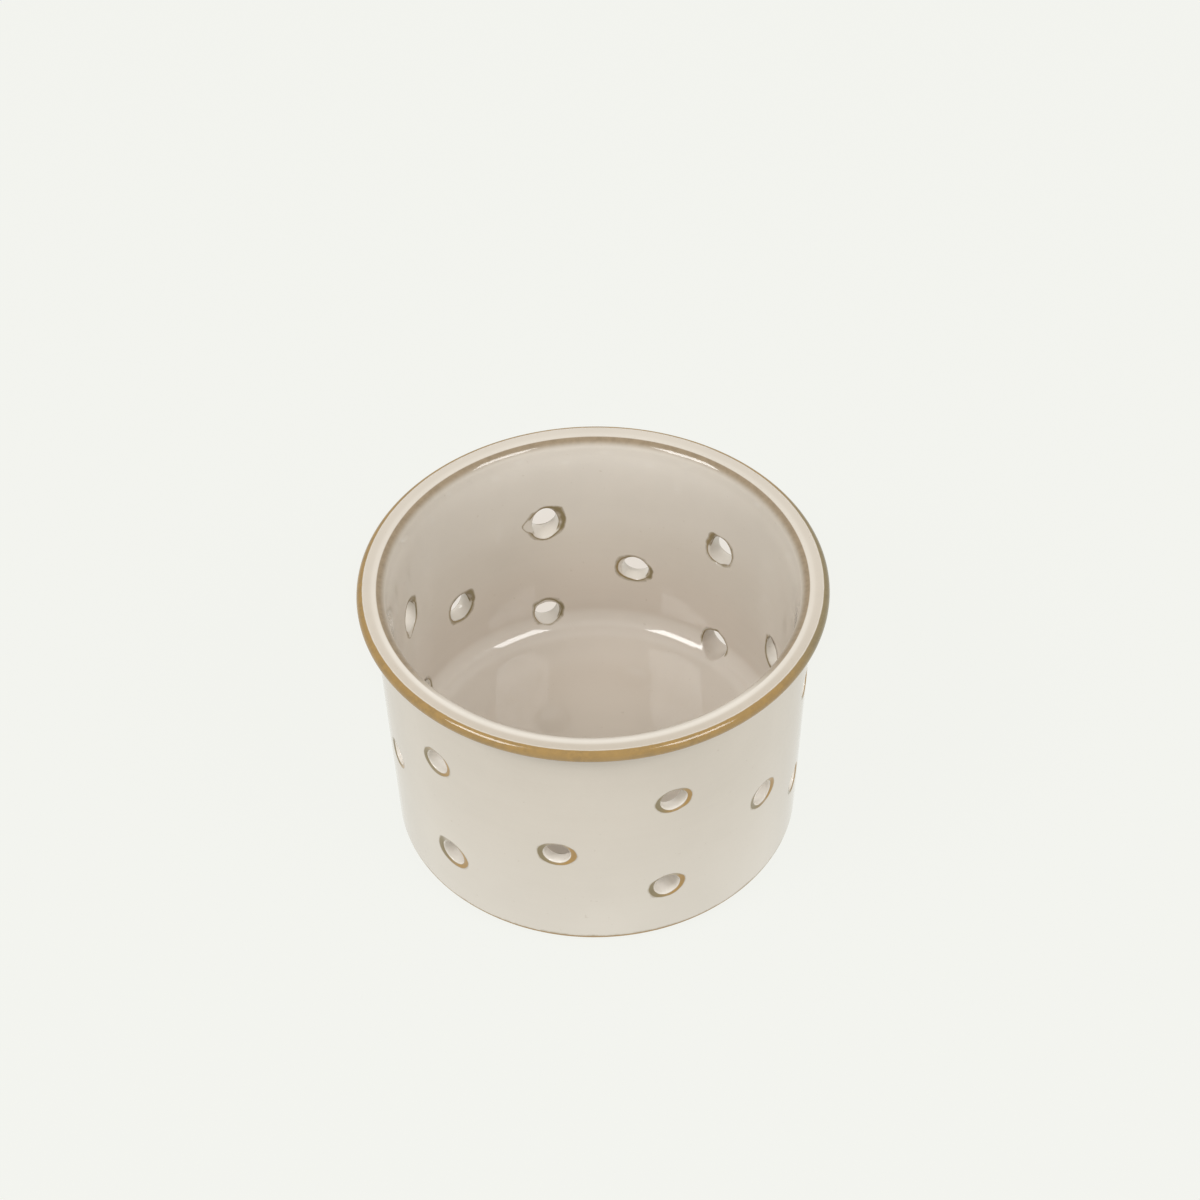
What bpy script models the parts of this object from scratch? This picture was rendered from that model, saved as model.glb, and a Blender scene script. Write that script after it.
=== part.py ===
"""Cheese mold: a small stoneware cup with drain holes, as a fired clay body and the glaze coat melted onto it.

Metres, +Z up. The origin is the centre of the foot, on the surface that the mold stands on.
"""

import math

import bmesh
import bpy
from mathutils import Matrix, Vector

MM = 0.001

# Overall form, measured over the glaze.
HEIGHT = 65.0 * MM
RIM_RADIUS = 50.0 * MM
BASE_RADIUS = 43.6 * MM
WALL_SLOPE = 0.0517                 # the wall widens by this much for each unit of height
WALL_THICKNESS = 3.45 * MM

# Lip: a full-round outer edge that stands out from the wall, a flat top, an inner edge that turns through
# most of a right angle, and a slight flare from there down to the inside of the wall.
LIP_EDGE_RADIUS = 1.55 * MM
LIP_INNER_RADIUS = 2.4 * MM
LIP_INNER_TURN = 78.0
LIP_FLARE_RADIUS = 40.0 * MM
UNDER_LIP_RADIUS = 1.5 * MM

# Floor and foot.
FLOOR_HEIGHT = 12.0 * MM
FLOOR_FILLET_RADIUS = 5.3 * MM
FOOT_EDGE_RADIUS = 1.3 * MM
FOOT_RING_WIDTH = 3.0 * MM
FOOT_INNER_EDGE_RADIUS = 0.8 * MM
RECESS_HEIGHT = 6.6 * MM
RECESS_SLOPE = 0.12                 # the recess narrows by this much for each unit of height
RECESS_FILLET_RADIUS = 2.0 * MM

# Glaze: its thickness, where it stops above the foot, and the gap that keeps the two meshes apart.
GLAZE_THICKNESS = 0.4 * MM
GLAZE_LINE_HEIGHT = 1.5 * MM
MESH_GAP = 0.3 * MM

# Drain holes, pierced square to the wall: three rows of six, each hole a little off its even place.
HOLE_RADIUS = 2.9 * MM
HOLE_ROUNDING = 1.1 * MM
HOLES_PER_ROW = 6
HOLE_ROWS = (
    # height of the row, azimuth of its first hole, how far each hole wanders along the row, in degrees,
    # and how far it wanders up, in millimetres
    (43.0 * MM, -165.0, (-1.0, -5.0, -2.0, 5.4, 3.0, 3.2), (0.3, -1.4, 1.0, 0.3, 0.0, -0.3)),
    (29.0 * MM, -135.0, (0.0, 4.5, 3.8, 6.4, 5.5, 2.0), (0.2, 1.0, -0.2, -0.1, -0.8, 0.4)),
    (16.2 * MM, -165.0, (-0.4, -7.6, 0.5, 4.0, -1.5, 3.2), (1.0, 0.3, -0.2, -0.4, 0.8, -0.6)),
)
WIDE_HOLE = (0, 0)                  # row and place of the one hole that was reamed wider
WIDE_HOLE_RADIUS = 3.5 * MM

# Cutters reach past both faces of the wall, and the inner one reaches below the glaze line.
CUTTER_OUTER_REACH = 8.0 * MM
CUTTER_INNER_REACH = 11.0 * MM
BELOW_FOOT = 1.0 * MM

# Mesh fineness.
TURN_STEPS = 48
HOLE_STEPS = 12
MOUTH_STEPS = 2
ARC_STEPS = 4
LIP_EDGE_STEPS = 6
SMALL_ARC_STEPS = 3
FLARE_STEPS = 1
FOOT_INNER_STEPS = 2
SMOOTH_ANGLE = math.radians(35.0)

WALL_ANGLE = math.degrees(math.atan(WALL_SLOPE))
WALL_COSINE = math.cos(math.atan(WALL_SLOPE))


def clear_scene():
    """Remove every object, so that the script starts from nothing."""
    for obj in list(bpy.data.objects):
        bpy.data.objects.remove(obj, do_unlink=True)


def make_material(name, color, roughness, coat=0.0):
    """A Principled material with one colour, for a non-metal."""
    material = bpy.data.materials.new(name)
    material.use_nodes = True
    shader = material.node_tree.nodes["Principled BSDF"]
    shader.inputs["Base Color"].default_value = (*color, 1.0)
    shader.inputs["Roughness"].default_value = roughness
    shader.inputs["Metallic"].default_value = 0.0
    shader.inputs["Coat Weight"].default_value = coat
    return material


def arc(centre, radius, start, end, steps):
    """Points from one angle to another, in degrees, on a circle in the radius-height plane."""
    points = []
    for step in range(steps + 1):
        angle = math.radians(start + (end - start) * step / steps)
        points.append((centre[0] + radius * math.cos(angle), centre[1] + radius * math.sin(angle)))
    return points


def outer_radius(height):
    """Radius of the wall's outer face at a height, over the glaze."""
    return BASE_RADIUS + WALL_SLOPE * height


def inner_radius(height):
    """Radius of the wall's inner face at a height, over the glaze."""
    return outer_radius(height) - WALL_THICKNESS / WALL_COSINE


def cup_outline(inset):
    """Outline from the floor's centre, up the inside, over the lip and down to the top of the outer wall.

    The inset is the depth below the glazed surface. Each arc keeps its centre, so that outlines at two
    depths are parallel: hollow arcs grow by the inset and round ones shrink.
    """
    floor_centre_height = FLOOR_HEIGHT + FLOOR_FILLET_RADIUS
    floor_centre = (
        inner_radius(floor_centre_height) - FLOOR_FILLET_RADIUS / WALL_COSINE,
        floor_centre_height,
    )
    turn = math.radians(LIP_INNER_TURN)
    flare_height = HEIGHT - LIP_INNER_RADIUS - (LIP_FLARE_RADIUS - LIP_INNER_RADIUS) * math.cos(turn)
    flare_centre = (inner_radius(flare_height) + LIP_FLARE_RADIUS / WALL_COSINE, flare_height)
    inner_lip_centre = (
        flare_centre[0] - (LIP_FLARE_RADIUS - LIP_INNER_RADIUS) * math.sin(turn),
        HEIGHT - LIP_INNER_RADIUS,
    )
    lip_centre = (RIM_RADIUS - LIP_EDGE_RADIUS, HEIGHT - LIP_EDGE_RADIUS)
    under_lip_height = HEIGHT - 2.0 * LIP_EDGE_RADIUS - UNDER_LIP_RADIUS
    under_lip_centre = (
        outer_radius(under_lip_height) + UNDER_LIP_RADIUS / WALL_COSINE,
        under_lip_height,
    )
    points = [(0.0, FLOOR_HEIGHT - inset)]
    points += arc(floor_centre, FLOOR_FILLET_RADIUS + inset, -90.0, -WALL_ANGLE, ARC_STEPS)
    flare_end = 90.0 + LIP_INNER_TURN
    points += arc(flare_centre, LIP_FLARE_RADIUS - inset, 180.0 - WALL_ANGLE, flare_end, FLARE_STEPS)
    points += arc(inner_lip_centre, LIP_INNER_RADIUS - inset, flare_end, 90.0, ARC_STEPS)[1:]
    points += arc(lip_centre, LIP_EDGE_RADIUS - inset, 90.0, -90.0, LIP_EDGE_STEPS)
    points += arc(under_lip_centre, UNDER_LIP_RADIUS + inset, 90.0, 180.0 - WALL_ANGLE, SMALL_ARC_STEPS)
    return points


def outer_wall_point(height, inset):
    """The point of the outer wall's outline at a height and a depth below the glaze."""
    return (outer_radius(height) - inset / WALL_COSINE, height)


def plug_outline(inset, bottom):
    """The cup's outline closed by a flat bottom, with nothing hollow under the floor."""
    return cup_outline(inset) + [outer_wall_point(bottom, inset), (0.0, bottom)]


def clay_outline(inset):
    """The cup's outline closed by the foot ring and the recess under the floor."""
    foot_centre_radius = outer_wall_point(FOOT_EDGE_RADIUS, inset)[0] - FOOT_EDGE_RADIUS
    ring_inner = foot_centre_radius - FOOT_RING_WIDTH
    recess_angle = math.degrees(math.atan(RECESS_SLOPE))
    recess_top = RECESS_HEIGHT - RECESS_FILLET_RADIUS
    recess_centre = (
        ring_inner - RECESS_SLOPE * recess_top - RECESS_FILLET_RADIUS - FOOT_INNER_EDGE_RADIUS,
        recess_top,
    )
    points = cup_outline(inset)
    foot_centre = (foot_centre_radius, FOOT_EDGE_RADIUS)
    ring_centre = (ring_inner, FOOT_INNER_EDGE_RADIUS)
    ring_end = 180.0 + recess_angle
    points += arc(foot_centre, FOOT_EDGE_RADIUS, -WALL_ANGLE, -90.0, SMALL_ARC_STEPS)
    points += arc(ring_centre, FOOT_INNER_EDGE_RADIUS, 270.0, ring_end, FOOT_INNER_STEPS)
    points += arc(recess_centre, RECESS_FILLET_RADIUS, recess_angle, 90.0, SMALL_ARC_STEPS)
    points.append((0.0, RECESS_HEIGHT))
    return points


def hole_outline(radius, inset):
    """Outline of one drain hole's cutter about its own axis, from outside the cup to inside it.

    Height 0 is the wall's outer face over the glaze, where the hole's edge is rounded over. Its inner edge
    is left as the piercing tool left it.
    """
    mouth = (radius + HOLE_ROUNDING, -HOLE_ROUNDING)
    points = [(0.0, CUTTER_OUTER_REACH), (mouth[0], CUTTER_OUTER_REACH)]
    points += arc(mouth, HOLE_ROUNDING - inset, 90.0, 180.0, MOUTH_STEPS)
    points += [(radius + inset, -CUTTER_INNER_REACH), (0.0, -CUTTER_INNER_REACH)]
    return points


def hole_placements():
    """The place, outward direction and radius of each drain hole on the wall's outer face."""
    for row, (row_height, first_azimuth, wander, lift) in enumerate(HOLE_ROWS):
        for place in range(HOLES_PER_ROW):
            height = row_height + lift[place] * MM
            azimuth = math.radians(first_azimuth + 360.0 * place / HOLES_PER_ROW + wander[place])
            outward = Vector((math.sin(azimuth), -math.cos(azimuth), 0.0))
            centre = outward * outer_radius(height) + Vector((0.0, 0.0, height))
            normal = outward * WALL_COSINE - Vector((0.0, 0.0, WALL_SLOPE * WALL_COSINE))
            radius = WIDE_HOLE_RADIUS if (row, place) == WIDE_HOLE else HOLE_RADIUS
            yield centre, normal, radius


def add_turned_body(bm, outline, steps):
    """Spin an outline of radius-height points about Z into a closed body, and return its vertices."""
    before = set(bm.verts)
    ring = [bm.verts.new((radius, 0.0, height)) for radius, height in outline]
    edges = [bm.edges.new(pair) for pair in zip(ring, ring[1:])]
    bmesh.ops.spin(
        bm, geom=ring + edges, cent=(0.0, 0.0, 0.0), axis=(0.0, 0.0, 1.0),
        angle=2.0 * math.pi, steps=steps, use_merge=True,
    )
    body = [vert for vert in bm.verts if vert not in before]
    bmesh.ops.remove_doubles(bm, verts=body, dist=1e-7)
    return [vert for vert in bm.verts if vert not in before]


def finish_object(name, bm, material=None):
    """Turn a bmesh into an object whose faces point out, shaded smooth except at its real edges."""
    bmesh.ops.recalc_face_normals(bm, faces=bm.faces)
    mesh = bpy.data.meshes.new(name)
    bm.to_mesh(mesh)
    bm.free()
    mesh.shade_smooth()
    mesh.set_sharp_from_angle(angle=SMOOTH_ANGLE)
    if material is not None:
        mesh.materials.append(material)
    obj = bpy.data.objects.new(name, mesh)
    bpy.context.scene.collection.objects.link(obj)
    return obj


def as_cutter(obj):
    """Mark an object as a tool for cutting, which is not part of the mold."""
    obj.hide_render = True
    obj.display_type = "WIRE"
    return obj


def make_turned(name, outline, material=None):
    """A turned body about the mold's own axis."""
    bm = bmesh.new()
    add_turned_body(bm, outline, TURN_STEPS)
    return finish_object(name, bm, material)


def make_hole_cutter(name, inset):
    """One cutter that holds all the drain holes, each a separate body square to the wall."""
    bm = bmesh.new()
    for centre, normal, radius in hole_placements():
        body = add_turned_body(bm, hole_outline(radius, inset), HOLE_STEPS)
        turn = normal.to_track_quat("Z", "Y").to_matrix().to_4x4()
        bmesh.ops.transform(bm, matrix=Matrix.Translation(centre) @ turn, verts=body)
    return as_cutter(finish_object(name, bm))


def cut(obj, cutter, name):
    """Take a cutter away from an object, and leave the modifier live."""
    modifier = obj.modifiers.new(name, "BOOLEAN")
    modifier.operation = "DIFFERENCE"
    modifier.solver = "EXACT"
    modifier.object = cutter


def make_stoneware_body():
    """The fired clay: wall, lip, floor and foot in one lump, with the drain holes through its wall."""
    clay = make_material("fired_stoneware", (0.42, 0.29, 0.17), 0.8)
    inset = GLAZE_THICKNESS + MESH_GAP
    body = make_turned("stoneware_body", clay_outline(inset), clay)
    cut(body, make_hole_cutter("clay_hole_cutter", inset), "drain_holes")
    return body


def make_glaze_coat():
    """The glaze: a skin over the inside, the lip and the outer wall, which also lines every drain hole."""
    glaze = make_material("cream_glaze", (0.62, 0.55, 0.46), 0.12, coat=0.5)
    coat = make_turned("glaze_coat", plug_outline(0.0, GLAZE_LINE_HEIGHT), glaze)
    cut(coat, make_hole_cutter("glaze_hole_cutter", 0.0), "drain_holes")
    hollow = as_cutter(make_turned("clay_space", plug_outline(GLAZE_THICKNESS, -BELOW_FOOT)))
    cut(hollow, make_hole_cutter("clay_space_hole_cutter", GLAZE_THICKNESS), "drain_holes")
    cut(coat, hollow, "clay_space")
    return coat


def main():
    clear_scene()
    make_stoneware_body()
    make_glaze_coat()


main()
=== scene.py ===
"""Looks of the drain-hole cheese mold: its glazed ware and its bare clay foot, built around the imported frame."""

import math
import random
from collections import namedtuple

import bpy
from mathutils import Matrix, Vector, noise


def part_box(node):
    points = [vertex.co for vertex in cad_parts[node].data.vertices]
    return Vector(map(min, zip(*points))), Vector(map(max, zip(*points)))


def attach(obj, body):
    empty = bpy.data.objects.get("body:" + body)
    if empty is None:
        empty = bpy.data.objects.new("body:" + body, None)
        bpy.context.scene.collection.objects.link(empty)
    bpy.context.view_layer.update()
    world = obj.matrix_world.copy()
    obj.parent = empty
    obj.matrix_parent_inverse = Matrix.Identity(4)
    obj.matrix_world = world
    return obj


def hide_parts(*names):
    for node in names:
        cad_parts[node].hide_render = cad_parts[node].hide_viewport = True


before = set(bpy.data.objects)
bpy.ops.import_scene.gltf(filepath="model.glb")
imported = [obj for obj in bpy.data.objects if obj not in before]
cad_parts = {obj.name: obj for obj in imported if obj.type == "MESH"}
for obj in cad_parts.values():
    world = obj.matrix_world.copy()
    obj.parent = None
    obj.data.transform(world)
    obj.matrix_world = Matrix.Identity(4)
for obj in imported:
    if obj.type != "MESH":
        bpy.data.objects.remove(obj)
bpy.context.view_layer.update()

MM = 0.001

coat_low, coat_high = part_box("glaze_coat")
clay_low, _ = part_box("stoneware_body")

# ---------------------------------------------------------------------------------------------------------------
# Sizes of the turned form. The rim, the height and the glaze line come from the frame.
# ---------------------------------------------------------------------------------------------------------------
RIM_RADIUS = coat_high.x
HEIGHT = coat_high.z
GLAZE_LINE = coat_low.z
FOOT_LEVEL = clay_low.z

OUTER_BASE_RADIUS = 43.6 * MM
WALL_SLOPE = 0.0517
WALL_THICKNESS = 3.45 * MM
LIP_EDGE_RADIUS = 1.55 * MM
LIP_INNER_RADIUS = 2.4 * MM
LIP_INNER_TURN = 78.0
LIP_FLARE_RADIUS = 40.0 * MM
UNDER_LIP_RADIUS = 1.5 * MM
FLOOR_HEIGHT = 12.0 * MM
FLOOR_FILLET_RADIUS = 5.3 * MM
BASE_EDGE_RADIUS = 2.0 * MM
GLAZE_END_RADIUS = 0.12 * MM
GLAZE_END_TURN = 150.0
CLAY_END_TURN = 1.0

FOOT_EDGE_RADIUS = 1.8 * MM
FOOT_OUTER_RADIUS = 41.67 * MM
FOOT_RING_WIDTH = 3.0 * MM
FOOT_INNER_EDGE_RADIUS = 0.8 * MM
RECESS_HEIGHT = 6.6 * MM
RECESS_SLOPE = 0.12
RECESS_FILLET_RADIUS = 2.0 * MM

WALL_ANGLE = math.degrees(math.atan(WALL_SLOPE))
WALL_COSINE = math.cos(math.atan(WALL_SLOPE))

# Drain holes: three rows of six. Each hole wanders a little along its row, in degrees, and up or down, in mm.
HOLES_PER_ROW = 6
HOLE_ROWS = (
    # height, azimuth of the first hole, wander along the row, wander in height
    (43.0 * MM, -165.0, (-1.0, -5.0, -2.0, 5.4, 3.0, 3.2), (0.3, -1.4, 1.0, 0.3, 0.0, -0.3)),
    (29.0 * MM, -135.0, (0.0, 4.5, 3.8, 6.4, 5.5, 2.0), (0.2, 1.0, -0.2, -0.1, -0.8, 0.4)),
    (16.2 * MM, -165.0, (-0.4, -7.6, 0.5, 4.0, -1.5, 3.2), (1.0, 0.3, -0.2, -0.4, 0.8, -0.6)),
)
HOLE_RADIUS = 2.9 * MM

COLUMNS = 288
FOOT_COLUMNS = 192


# ---------------------------------------------------------------------------------------------------------------
# The turned outline, as a chain of lines and arcs. Row numbers run along it from the floor's centre to the foot.
# ---------------------------------------------------------------------------------------------------------------
def smooth_step(low, high, value):
    """0 below low, 1 above high, and a smooth rise between them. The two may be in either order."""
    share = min(max((value - low) / (high - low), 0.0), 1.0)
    return share * share * (3.0 - 2.0 * share)


def bump_between(rise, full, fade, gone, value):
    """0 outside rise and gone, 1 from full to fade."""
    return smooth_step(rise, full, value) * (1.0 - smooth_step(fade, gone, value))


def line(start, end):
    """A straight stretch of outline."""
    def point(share):
        return (start[0] + (end[0] - start[0]) * share, start[1] + (end[1] - start[1]) * share)
    return point


def on_circle(centre, radius, angle):
    """The point of a circle at an angle in degrees."""
    return (centre[0] + radius * math.cos(math.radians(angle)), centre[1] + radius * math.sin(math.radians(angle)))


def arc(centre, radius, start, end):
    """A round stretch of outline, between two angles in degrees."""
    def point(share):
        return on_circle(centre, radius, start + (end - start) * share)
    return point


def outer_radius(height):
    return OUTER_BASE_RADIUS + WALL_SLOPE * height


def inner_radius(height):
    return outer_radius(height) - WALL_THICKNESS / WALL_COSINE


Stretch = namedtuple("Stretch", "name first rows point thin sway")


class Outline:
    """A chain of stretches, each with its number of rows. A row number may be fractional."""

    def __init__(self):
        self.stretches = []
        self.rows = 0

    def add(self, name, rows, point, thin=None, sway=0.0):
        """thin gives the glaze's thinness along the stretch, and sway how far the surface wanders in metres."""
        self.stretches.append(Stretch(name, self.rows, rows, point, thin, sway))
        self.rows += rows

    def find(self, row):
        """The stretch that a row lies on, and its share of the way along it."""
        for stretch in self.stretches:
            if row <= stretch.first + stretch.rows:
                return stretch, min(max((row - stretch.first) / stretch.rows, 0.0), 1.0)
        return self.stretches[-1], 1.0

    def named(self, name):
        return next(stretch for stretch in self.stretches if stretch.name == name)

    def name_at(self, row):
        return self.find(row)[0].name

    def radius_height(self, row):
        stretch, share = self.find(row)
        return stretch.point(share)

    def thinness(self, row):
        stretch, share = self.find(row)
        return stretch.thin(share) if stretch.thin else 0.0

    def sway(self, row):
        """How far the surface wanders at a row, easing to nothing at the stretch's ends."""
        stretch, share = self.find(row)
        return stretch.sway * min(1.0, 6.0 * share * (1.0 - share))


fillet_centre_height = FLOOR_HEIGHT + FLOOR_FILLET_RADIUS
fillet_centre = (
    inner_radius(fillet_centre_height) - FLOOR_FILLET_RADIUS / WALL_COSINE,
    fillet_centre_height,
)
lip_flare_height = HEIGHT - LIP_INNER_RADIUS
lip_flare_height -= (LIP_FLARE_RADIUS - LIP_INNER_RADIUS) * math.cos(math.radians(LIP_INNER_TURN))
lip_flare_centre = (inner_radius(lip_flare_height) + LIP_FLARE_RADIUS / WALL_COSINE, lip_flare_height)
inner_lip_centre = (
    lip_flare_centre[0] - (LIP_FLARE_RADIUS - LIP_INNER_RADIUS) * math.sin(math.radians(LIP_INNER_TURN)),
    HEIGHT - LIP_INNER_RADIUS,
)
lip_centre = (RIM_RADIUS - LIP_EDGE_RADIUS, HEIGHT - LIP_EDGE_RADIUS)
under_lip_height = HEIGHT - 2.0 * LIP_EDGE_RADIUS - UNDER_LIP_RADIUS
under_lip_centre = (
    outer_radius(under_lip_height) + UNDER_LIP_RADIUS / WALL_COSINE,
    under_lip_height,
)
base_edge_centre = (outer_radius(BASE_EDGE_RADIUS) - BASE_EDGE_RADIUS, BASE_EDGE_RADIUS)
GLAZE_END_ANGLE = -math.degrees(math.asin((BASE_EDGE_RADIUS - GLAZE_LINE) / BASE_EDGE_RADIUS))
glaze_end_centre = on_circle(base_edge_centre, BASE_EDGE_RADIUS - GLAZE_END_RADIUS, GLAZE_END_ANGLE)

# Where the ware and the clay foot meet, hidden inside the wall and the floor: (radius, height).
SEAM_GAP = 0.06 * MM
SEAM = ((42.9 * MM, 2.1 * MM), (41.0 * MM, 3.6 * MM), (38.6 * MM, 8.6 * MM), (0.0, 8.6 * MM))


# How thin the glaze runs along the lip and the base: 0 is full glaze, 1 is nearly bare clay.
INNER_LIP_THIN = 0.10
BASE_THIN = 0.28
BASE_EDGE_THIN = 0.6
GLAZE_END_THIN = 0.9

FLOOR_SWAY = 0.02 * MM
WALL_SWAY = 0.03 * MM
RECESS_SWAY = -0.08 * MM


def ware_outline():
    """The glazed ware, from the floor's centre over the lip to the glaze line, closed along the hidden seam."""
    outline = Outline()
    inner_wall_start = on_circle(fillet_centre, FLOOR_FILLET_RADIUS, -WALL_ANGLE)
    inner_wall_end = on_circle(lip_flare_centre, LIP_FLARE_RADIUS, 180.0 - WALL_ANGLE)
    outer_wall_start = on_circle(under_lip_centre, UNDER_LIP_RADIUS, 180.0 - WALL_ANGLE)
    outer_wall_end = on_circle(base_edge_centre, BASE_EDGE_RADIUS, -WALL_ANGLE)
    glaze_stop = GLAZE_END_ANGLE - GLAZE_END_TURN
    outline.add("floor", 24, line((0.0, FLOOR_HEIGHT), (fillet_centre[0], FLOOR_HEIGHT)), sway=FLOOR_SWAY)
    outline.add("fillet", 10, arc(fillet_centre, FLOOR_FILLET_RADIUS, -90.0, -WALL_ANGLE))
    outline.add("inner_wall", 42, line(inner_wall_start, inner_wall_end), sway=WALL_SWAY)
    outline.add(
        "lip_flare", 6, arc(lip_flare_centre, LIP_FLARE_RADIUS, 180.0 - WALL_ANGLE, 90.0 + LIP_INNER_TURN),
        thin=lambda u: INNER_LIP_THIN * smooth_step(0.6, 1.0, u),
    )
    outline.add(
        "inner_lip", 18, arc(inner_lip_centre, LIP_INNER_RADIUS, 90.0 + LIP_INNER_TURN, 90.0),
        thin=lambda u: (INNER_LIP_THIN + (1.0 - INNER_LIP_THIN) * smooth_step(0.0, 0.66, u))
        * (1.0 - smooth_step(0.83, 0.90, u)),
    )
    outline.add("lip_top", 5, line((inner_lip_centre[0], HEIGHT), (lip_centre[0], HEIGHT)))
    outline.add(
        "lip_edge", 20, arc(lip_centre, LIP_EDGE_RADIUS, 90.0, -90.0),
        thin=lambda u: bump_between(0.03, 0.10, 0.8, 1.0, u),
    )
    outline.add("under_lip", 1, line((lip_centre[0], under_lip_height + UNDER_LIP_RADIUS),
                                     (under_lip_centre[0], under_lip_height + UNDER_LIP_RADIUS)))
    outline.add("neck", 8, arc(under_lip_centre, UNDER_LIP_RADIUS, 90.0, 180.0 - WALL_ANGLE))
    outline.add(
        "outer_wall", 61, line(outer_wall_start, outer_wall_end),
        thin=lambda u: BASE_THIN * smooth_step(0.98, 1.0, u), sway=WALL_SWAY,
    )
    outline.add(
        "base_edge", 4, arc(base_edge_centre, BASE_EDGE_RADIUS, -WALL_ANGLE, GLAZE_END_ANGLE),
        thin=lambda u: BASE_THIN + BASE_EDGE_THIN * smooth_step(0.0, 0.5, u),
    )
    outline.add(
        "glaze_end", 3, arc(glaze_end_centre, GLAZE_END_RADIUS, GLAZE_END_ANGLE, glaze_stop),
        thin=lambda u: GLAZE_END_THIN,
    )
    last = on_circle(glaze_end_centre, GLAZE_END_RADIUS, glaze_stop)
    for number, end in enumerate(SEAM):
        outline.add(f"seam_{number}", 1, line(last, end))
        last = end
    return outline


def foot_outline():
    """The bare clay under the glaze line, from the recess's centre over the foot ring to the glaze, then the seam."""
    outline = Outline()
    foot_outer_centre = (FOOT_OUTER_RADIUS, FOOT_LEVEL + FOOT_EDGE_RADIUS)
    foot_inner_wall = FOOT_OUTER_RADIUS - FOOT_RING_WIDTH - FOOT_INNER_EDGE_RADIUS
    foot_inner_centre = (foot_inner_wall + FOOT_INNER_EDGE_RADIUS, FOOT_LEVEL + FOOT_INNER_EDGE_RADIUS)
    lean = math.degrees(math.atan(RECESS_SLOPE))
    recess_centre_height = RECESS_HEIGHT - RECESS_FILLET_RADIUS
    climb = recess_centre_height - foot_inner_centre[1]
    recess_centre = (
        foot_inner_centre[0] - RECESS_SLOPE * climb
        - (FOOT_INNER_EDGE_RADIUS + RECESS_FILLET_RADIUS) / math.cos(math.radians(lean)),
        recess_centre_height,
    )
    recess_end = on_circle(recess_centre, RECESS_FILLET_RADIUS, lean)
    ring_start = on_circle(foot_inner_centre, FOOT_INNER_EDGE_RADIUS, 180.0 + lean)
    outline.add("recess", 26, line((0.0, RECESS_HEIGHT), (recess_centre[0], RECESS_HEIGHT)), sway=RECESS_SWAY)
    outline.add("recess_fillet", 8, arc(recess_centre, RECESS_FILLET_RADIUS, 90.0, lean))
    outline.add("recess_wall", 4, line(recess_end, ring_start))
    outline.add("ring_inside", 6, arc(foot_inner_centre, FOOT_INNER_EDGE_RADIUS, 180.0 + lean, 270.0))
    outline.add("ring", 5, line((foot_inner_centre[0], FOOT_LEVEL), (FOOT_OUTER_RADIUS, FOOT_LEVEL)))
    clay_stop = GLAZE_END_ANGLE - CLAY_END_TURN
    outline.add("foot_edge", 12, arc(foot_outer_centre, FOOT_EDGE_RADIUS, -90.0, clay_stop))
    last = on_circle(foot_outer_centre, FOOT_EDGE_RADIUS, clay_stop)
    for number, (radius, height) in enumerate(SEAM):
        end = (max(radius - SEAM_GAP, 0.0), height - SEAM_GAP)
        outline.add(f"seam_{number}", 1, line(last, end))
        last = end
    return outline


# ---------------------------------------------------------------------------------------------------------------
# The drain holes' mouths. Angles are degrees seen from outside: 0 towards rising azimuth, 90 straight up.
# ---------------------------------------------------------------------------------------------------------------
# How deep the glaze's tone is inside the bores, on the scale that TONE_COLOURS gives. The bores are paler than the
# wall, partly whiter glaze and partly painted light, and the bores that face the front are painted paler still.
FRONT_BORE_GLAZE_AND_LIGHT = -1.0
BACK_BORE_GLAZE_AND_LIGHT = -0.35
OPEN_BORE_TONE = 1.0


class Mouth:
    """The edge of one end of a hole: an oval, with soft lobes and drawn-out points. Sizes are in millimetres."""

    def __init__(self, width, height, turn=0.0, shift=(0.0, 0.0), points=(), brown=(), bore=(6.0, 7.2),
                 open_below=False):
        self.half_width = width * MM / 2.0
        self.half_height = height * MM / 2.0
        self.turn = math.radians(turn)
        self.shift = (shift[0] * MM, shift[1] * MM)
        self.points = points      # (angle, length in mm, spread in degrees)
        self.brown = brown        # (angle, strength, spread in degrees)
        self.bore = (bore[0] * MM / 2.0, bore[1] * MM / 2.0)      # the oval that the mouth narrows to
        self.open_below = open_below      # no brown along the lower edge, and a bore as deep in tone as the wall
        self.lobes = ()

    def ruffle(self, chance, size):
        """A few seeded lobes, so that no two edges are alike."""
        self.lobes = tuple(
            (count, size * MM * chance.uniform(0.4, 1.0) / count, chance.uniform(0.0, 2.0 * math.pi))
            for count in (2, 3, 5, 8)
        )

    def radius(self, angle):
        across = math.cos(angle - self.turn) / self.half_width
        along = math.sin(angle - self.turn) / self.half_height
        radius = 1.0 / math.hypot(across, along)
        radius += sum(size * math.cos(count * angle - phase) for count, size, phase in self.lobes)
        for place, length, spread in self.points:
            radius += length * MM * fall_off(angle, place, spread) ** 1.4
        return radius

    def bore_radius(self, angle):
        return 1.0 / math.hypot(math.cos(angle) / self.bore[0], math.sin(angle) / self.bore[1])

    def brownness(self, angle):
        return sum(strength * smooth_step(0.0, 0.7, fall_off(angle, place, spread))
                   for place, strength, spread in self.brown)


def fall_off(angle, place, spread):
    """1 at place and 0 at spread degrees from it."""
    away = abs((math.degrees(angle) - place + 180.0) % 360.0 - 180.0)
    return max(0.0, 1.0 - away / spread)
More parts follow.
